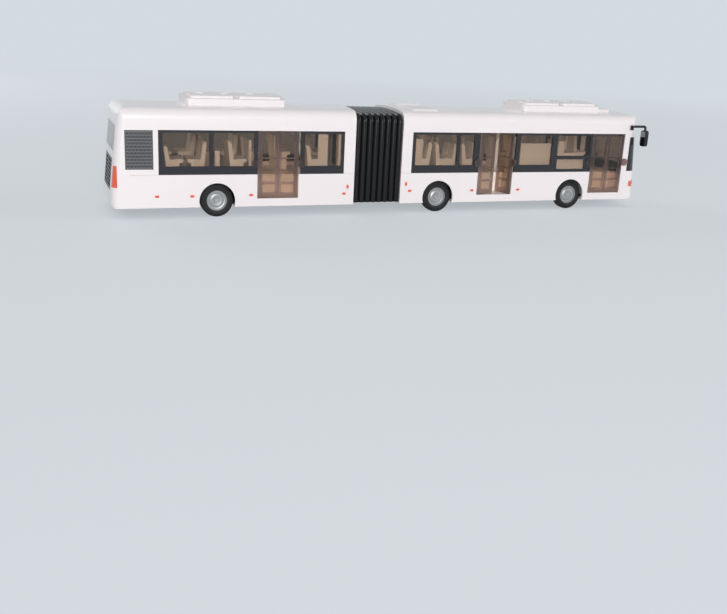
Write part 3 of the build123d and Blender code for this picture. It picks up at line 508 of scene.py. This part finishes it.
def tyre_outline(width, radius, bore):
    """Half section of a tyre: distance from its middle plane, distance from the axle."""
    half = width / 2
    right = [(half - inset, bore + out) for inset, out in BEAD]
    right += [(half - inset, radius - down) for inset, down in SHOULDER_CURVE]
    for middle in GROOVES:
        bottom = radius - GROOVE_DEPTH
        right += [(middle + GROOVE_HALF, radius), (middle + GROOVE_HALF, bottom),
                  (middle - GROOVE_HALF, bottom), (middle - GROOVE_HALF, radius)]
    right = right[:-2]  # the middle groove's other half comes with the mirror image
    return right + [(-across, out) for across, out in reversed(right)]


print("tyre section with", 2 * len(GROOVES) - 1, "grooves")

# %% [markdown]
# A full spin about the axle turns the section into a tyre. Every second face of each shoulder is
# then pressed in, which leaves the ribs between them. Cutting each gap with a block would make
# the same ribs more slowly, and with many thin faces.

# %% Tyres with tread
AXLES = ("front", "middle", "rear")
TYRE_STEPS = 80
TYRE_WIDTH = 5.4 * MM
TREAD_HALF = 1.3 * MM
RIB_RIM = 0.04 * MM
RIB_DEPTH = 0.30 * MM

for axle in AXLES:
    low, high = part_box(f"{axle}_tyres")
    hub_low, hub_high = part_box(f"{axle}_hubs")
    radius, bore = (high.z - low.z) / 2, (hub_high.z - hub_low.z) / 2
    centre = Vector(((low.x + high.x) / 2, 0, (low.z + high.z) / 2))
    tyre_middle = high.y - TYRE_WIDTH / 2
    bm = bmesh.new()
    for side in (-1, 1):
        verts = [bm.verts.new((centre.x, side * tyre_middle + across, centre.z + out))
                 for across, out in tyre_outline(TYRE_WIDTH, radius, bore)]
        edges = [bm.edges.new(pair) for pair in zip(verts, verts[1:] + verts[:1])]
        bmesh.ops.spin(bm, geom=verts + edges, cent=centre, axis=(0, 1, 0), angle=2 * pi,
                       steps=TYRE_STEPS, use_merge=True)
    close(bm)
    gaps = []
    for face in bm.faces:
        spoke = face.calc_center_median() - centre
        turn = int((atan2(spoke.z, spoke.x) + pi) / (2 * pi) * TYRE_STEPS)
        outer = abs(abs(spoke.y) - tyre_middle) > TREAD_HALF
        if turn % 2 and outer and spoke.xz.length > radius - RIB_LENGTH:
            gaps.append(face)
    bmesh.ops.inset_individual(bm, faces=gaps, thickness=RIB_RIM, depth=-RIB_DEPTH)
    tyres = make_piece(f"{axle}_tyre_treads", bm, "tyre", f"{axle}_wheels")
    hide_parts(f"{axle}_tyres")

# %% [markdown]
# The wheel hubs are domed discs with a ring of small nuts on them. A cone with six sides and
# little taper is a nut in one step. The first is placed at the ring's radius, and each of the
# others is a copy of it turned about the axle. Eight separate cones would need eight places.

# %% Wheel nuts
NUTS = 8
NUT_RING = 2.45 * MM
NUT_RADIUS, NUT_HEIGHT, NUT_TAPER = 0.46 * MM, 0.55 * MM, 0.85
NUT_TOP = 24.75 * MM

for axle in AXLES:
    low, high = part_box(f"{axle}_hubs")
    centre = (low + high) / 2
    bm = bmesh.new()
    for side in (-1, 1):
        place = Matrix.Translation((centre.x + NUT_RING, side * (NUT_TOP - NUT_HEIGHT / 2),
                                    centre.z))
        outwards = Matrix.Rotation(-side * pi / 2, 4, "X")
        nut = bmesh.ops.create_cone(bm, cap_ends=True, segments=6, radius1=NUT_RADIUS,
                                    radius2=NUT_RADIUS * NUT_TAPER, depth=NUT_HEIGHT,
                                    matrix=place @ outwards)["verts"]
        shape = nut + list({edge for vert in nut for edge in vert.link_edges}
                           | {face for vert in nut for face in vert.link_faces})
        for turn in range(1, NUTS):
            copy = bmesh.ops.duplicate(bm, geom=shape)["geom"]
            bmesh.ops.rotate(bm, verts=only(BMVert, copy), cent=centre,
                             matrix=Matrix.Rotation(turn * 2 * pi / NUTS, 3, "Y"))
    bmesh.ops.recalc_face_normals(bm, faces=bm.faces)
    make_piece(f"{axle}_wheel_nuts", bm, "hub", f"{axle}_wheels")

# %% [markdown]
# Each mirror is a black shell with a thin silvered plate in its rear face. The plate could be a
# box with bevelled edges. Here it is a square whose corners are rounded first and which is then
# pulled out to its thickness, so its rim stays sharp. It stands a hair proud of the shell, as a
# plate that is glued in does.

# %% Mirror plates
MIRROR_MIDDLE = Vector((171.9, 28.5, 47.15)) * MM
MIRROR_HALF_WIDTH, MIRROR_HALF_HEIGHT = 2.15 * MM, 4.6 * MM
MIRROR_CORNER, MIRROR_CORNER_STEPS = 1.2 * MM, 5
MIRROR_PROUD = 0.15 * MM

for side, name in ((-1, "right_mirror_plate"), (1, "left_mirror_plate")):
    bm = bmesh.new()
    bmesh.ops.create_grid(bm, x_segments=1, y_segments=1, size=1)
    bmesh.ops.rotate(bm, verts=bm.verts[:], matrix=Matrix.Rotation(-pi / 2, 3, "Y"))
    bmesh.ops.scale(bm, verts=bm.verts[:], vec=(1, MIRROR_HALF_WIDTH, MIRROR_HALF_HEIGHT))
    bmesh.ops.bevel(bm, geom=bm.verts[:], offset=MIRROR_CORNER, segments=MIRROR_CORNER_STEPS,
                    profile=0.5, affect="VERTICES", material=-1)
    grown = bmesh.ops.extrude_face_region(bm, geom=bm.faces[:])["geom"]
    bmesh.ops.translate(bm, verts=only(BMVert, grown), vec=(-MIRROR_PROUD, 0, 0))
    bmesh.ops.translate(bm, verts=bm.verts[:],
                        vec=(MIRROR_MIDDLE.x, side * MIRROR_MIDDLE.y, MIRROR_MIDDLE.z))
    close(bm)
    make_piece(name, bm, "mirror_glass", "front_car")

# %% [markdown]
# Each headlamp is a clear lens over two silvered bowls. A bowl is a half section spun about its
# own axis: a small dome for the bulb, a dish and a rim. The lens is curved, so each bowl can't
# stand at one fixed depth. Its rim is set a little behind the point where a ray from ahead of the
# bus meets the lens.

# %% Headlamp bowls
LOOK_FROM = 200 * MM
# Across from the middle and up from the ground, in millimetres
BOWL_PLACES = [(16.2, 16.5), (21.2, 16.5)]
BOWL_BEHIND = 0.75 * MM
BOWL_STEPS = 32
# Half section in millimetres: radius, how far ahead of the rim
BOWL_OUTLINE = [(0.0, -0.35), (0.35, -0.45), (0.5, -0.95), (1.2, -0.85), (1.8, -0.4),
                (2.05, 0.05), (2.25, 0.05), (2.25, -1.1), (0.0, -1.25)]


def front_of(names, across, up):
    """How far forward the named pieces reach at one place, seen from ahead of the bus."""
    start = Vector((LOOK_FROM, across, up))
    hits = [nodes[name].ray_cast(start, Vector((-1, 0, 0))) for name in names]
    return max(place.x for found, place, normal, index in hits if found)


bm = bmesh.new()
for side in (-1, 1):
    for across, up in BOWL_PLACES:
        across, up = side * across * MM, up * MM
        rim = Vector((front_of(["headlamps"], across, up) - BOWL_BEHIND, across, up))
        verts = [bm.verts.new(rim + Vector((ahead, 0, radius)) * MM)
                 for radius, ahead in BOWL_OUTLINE]
        edges = [bm.edges.new(pair) for pair in zip(verts, verts[1:])]
        bmesh.ops.spin(bm, geom=verts + edges, cent=rim, axis=(1, 0, 0), angle=2 * pi,
                       steps=BOWL_STEPS, use_merge=True)
close(bm)
make_piece("headlamp_bowls", bm, "silvered", "front_car")

# %% [markdown]
# The wipers and the grille strands are thin bars that follow a line. A curve with a bevel would
# do it, but it would have to be turned into a mesh afterwards. Here a small square stands across
# the line's start and is extruded from point to point. The square of every step is left behind
# as a wall inside the bar, where it isn't seen. Giving the operator the square's edges as well
# would take those walls away.

# %% Pulled bar
def pulled_bar(bm, points, thick):
    """Square bar pulled from point to point, with its inner walls left in."""
    heading = (points[-1] - points[0]).normalized()
    across = heading.to_track_quat("Z", "X").to_matrix().to_4x4()
    verts = bmesh.ops.create_grid(bm, x_segments=1, y_segments=1, size=thick / 2,
                                  matrix=Matrix.Translation(points[0]) @ across)["verts"]
    faces = [face for face in bm.faces if all(vert in verts for vert in face.verts)]
    for before, after in zip(points, points[1:]):
        grown = bmesh.ops.extrude_face_region(bm, geom=faces)["geom"]
        faces = only(BMFace, grown)
        bmesh.ops.translate(bm, verts=only(BMVert, grown), vec=after - before)


print("bar helper ready")

# %% [markdown]
# A wiper is a thin arm on a boss below the glass and a long blade lying on the glass. The glass is
# curved, so a straight bar would sink into it. Each point of the line is found by looking back
# from ahead of the bus until the ray meets the glass or its frame, and is lifted off a little.

# %% Wipers
# Across from the middle and up from the ground, in millimetres
BOSS, BLADE_MIDDLE, BLADE_HALF = (4.0, 26.2), (10.5, 31.0), (8.0, 1.6)
BOSS_FOOT, BOSS_TOP, BOSS_HEIGHT, BOSS_SIDES = 0.75 * MM, 0.6 * MM, 0.9 * MM, 16
BLADE_THICK, ARM_THICK = 0.34 * MM, 0.44 * MM
BLADE_LIFT, ARM_LIFT = 0.15 * MM, 0.40 * MM
WIPER_STEPS = 14


def on_screen(spot, lift):
    """Point in front of the windscreen or its frame, lifted off by a little."""
    front = front_of(["windscreen", "windscreen_frame"], spot.x, spot.y)
    return Vector((front + lift, spot.x, spot.y))


def line_on_screen(first, last, lift):
    """Points along a line that runs straight across the glass when seen from ahead."""
    return [on_screen(first.lerp(last, step / WIPER_STEPS), lift)
            for step in range(WIPER_STEPS + 1)]


bm = bmesh.new()
for side in (-1, 1):
    boss, middle, half = (Vector((side * across, up)) * MM
                          for across, up in (BOSS, BLADE_MIDDLE, BLADE_HALF))
    pulled_bar(bm, line_on_screen(middle - half, middle + half, BLADE_LIFT), BLADE_THICK)
    pulled_bar(bm, line_on_screen(boss, middle, ARM_LIFT), ARM_THICK)
    seat = Matrix.Translation(on_screen(boss, BLADE_LIFT)) @ Matrix.Rotation(pi / 2, 4, "Y")
    bmesh.ops.create_cone(bm, cap_ends=True, segments=BOSS_SIDES, radius1=BOSS_FOOT,
                          radius2=BOSS_TOP, depth=BOSS_HEIGHT, matrix=seat)
close(bm)
make_piece("wipers", bm, "black_plastic", "front_car")

# %% [markdown]
# The grille in each side of the tail has rows of wavy strands across its square holes, and they
# catch the light as rows of specks. A painted pattern would lie flat when seen from a slant, so
# each strand is a thin bar pulled along a zigzag. Neighbouring rows turn opposite ways. The
# strands are a lighter grey than the grille plate: a painted highlight for the light they catch.

# %% Side grille strands
STRAND_ROWS, STRAND_TURNS = 12, 14
STRAND_THICK = 0.42 * MM
STRAND_WAVE = 0.32 * MM
STRAND_MARGIN = 0.5 * MM

low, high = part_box("side_grilles")
length = high.x - low.x - 2 * STRAND_MARGIN
row_pitch = (high.z - low.z) / STRAND_ROWS
bm = bmesh.new()
for side in (-1, 1):
    for row in range(STRAND_ROWS):
        middle = low.z + row_pitch * (row + 0.5)
        points = [Vector((low.x + STRAND_MARGIN + length * turn / STRAND_TURNS, side * high.y,
                          middle + STRAND_WAVE * (-1) ** (turn + row)))
                  for turn in range(STRAND_TURNS + 1)]
        pulled_bar(bm, points, STRAND_THICK)
close(bm)
# the strands' lighter grey is a painted highlight where the grille catches the light
make_piece("side_grille_strands", bm, "strand_painted_glint", "rear_car")

# %% [markdown]
# The studio is a pale floor before a pale blue-grey backdrop, against which the white roof keeps
# its edge. A white one would light the bus well but swallow the roof. So a ray that looks
# straight at the backdrop, or is sent there by something shiny or clear, is told from a ray that
# only gathers light. The floor and the world both ask which one it is.

# %% Which rays see the backdrop
BACKDROP = (0.66, 0.71, 0.75, 1)


def seen_directly(tree):
    """1 for a ray from the camera, or one that a shiny or clear surface sends on, else 0."""
    path = tree.nodes.new("ShaderNodeLightPath").outputs
    shiny = maths(tree, "MAXIMUM", path["Is Camera Ray"], path["Is Glossy Ray"])
    return maths(tree, "MAXIMUM", shiny, path["Is Transmission Ray"])


print("backdrop", BACKDROP[:3])

# %% [markdown]
# The floor is one large square, matt, with no shine of its own. A plain one would end in a hard
# line at the horizon. Where it is seen, it takes on the backdrop's colour instead, more with
# distance, so only a faint change of tone is left there and the shadow of the bus still shows.

# %% Floor
FLOOR_HALF = 4.0
# Share of the backdrop's colour near the bus, and the distances between which it grows to all
SHARE_NEAR, FADE_FROM, FADE_TO = 0.60, 0.25, 1.7

FINISHES["floor"] = finish("floor", (0.86, 0.89, 0.92), 0.75, 60, 0.0, 0.01,
                           {"Specular IOR Level": 0.0})
tree = FINISHES["floor"].node_tree
away = tree.nodes.new("ShaderNodeVectorMath")
away.operation = "LENGTH"
fade = tree.nodes.new("ShaderNodeMapRange")
fade.interpolation_type = "SMOOTHSTEP"
for label, value in (("From Min", FADE_FROM), ("From Max", FADE_TO), ("To Min", SHARE_NEAR)):
    fade.inputs[label].default_value = value
glow = tree.nodes.new("ShaderNodeEmission")
glow.inputs["Color"].default_value = BACKDROP
tree.links.new(node_of(tree, "TEX_COORD").outputs["Object"], away.inputs[0])
tree.links.new(away.outputs["Value"], fade.inputs["Value"])
share = maths(tree, "MULTIPLY", fade.outputs["Result"], seen_directly(tree))
mix_in_surface(tree, glow.outputs["Emission"], share)

bm = bmesh.new()
bmesh.ops.create_grid(bm, x_segments=1, y_segments=1, size=FLOOR_HALF)
floor = make_piece("floor", bm, "floor")

# %% [markdown]
# One soft light stands low on the camera's side, so that the door side is the brightest face and
# the roof falls darker. Two weaker ones stand behind the bus and before its nose, for the views
# from there. An area lamp of more than half a metre is soft enough for a toy this size. A sun or a
# spot would throw a hard shadow.

# %% Lights
# Name: place, size, power
LAMPS = {
    "key": ((-0.35, -1.45, 0.40), 0.7, 14.4),
    "back": ((-0.8, 1.2, 0.55), 0.8, 7.0),
    "nose": ((1.3, -0.35, 0.45), 0.6, 5.0),
}
AIM = Vector((0, 0, 0.03))

for name, (place, size, power) in LAMPS.items():
    lamp = bpy.data.objects.new(name, bpy.data.lights.new(name, "AREA"))
    lamp.data.size = size
    lamp.data.energy = power
    lamp.location = place
    lamp.rotation_euler = (AIM - Vector(place)).to_track_quat("-Z", "Y").to_euler()
    scene.collection.objects.link(lamp)
print(len(LAMPS), "lights")

# %% [markdown]
# The world is what is left beyond the floor. It lights the bus evenly with a dim grey and shows
# the backdrop's colour where it is seen. An image of a room would give livelier reflections, but
# a plain world keeps the white paint plain.

# %% World
WORLD_GREY = (0.32, 0.32, 0.32, 1)

world = bpy.data.worlds.new("studio")
scene.world = world
world.use_nodes = True
tree = world.node_tree
colour = mixed(tree, "RGBA", WORLD_GREY, BACKDROP, seen_directly(tree))
tree.links.new(colour, tree.nodes["Background"].inputs["Color"])
scene.view_settings.view_transform = "Standard"
print("studio ready")
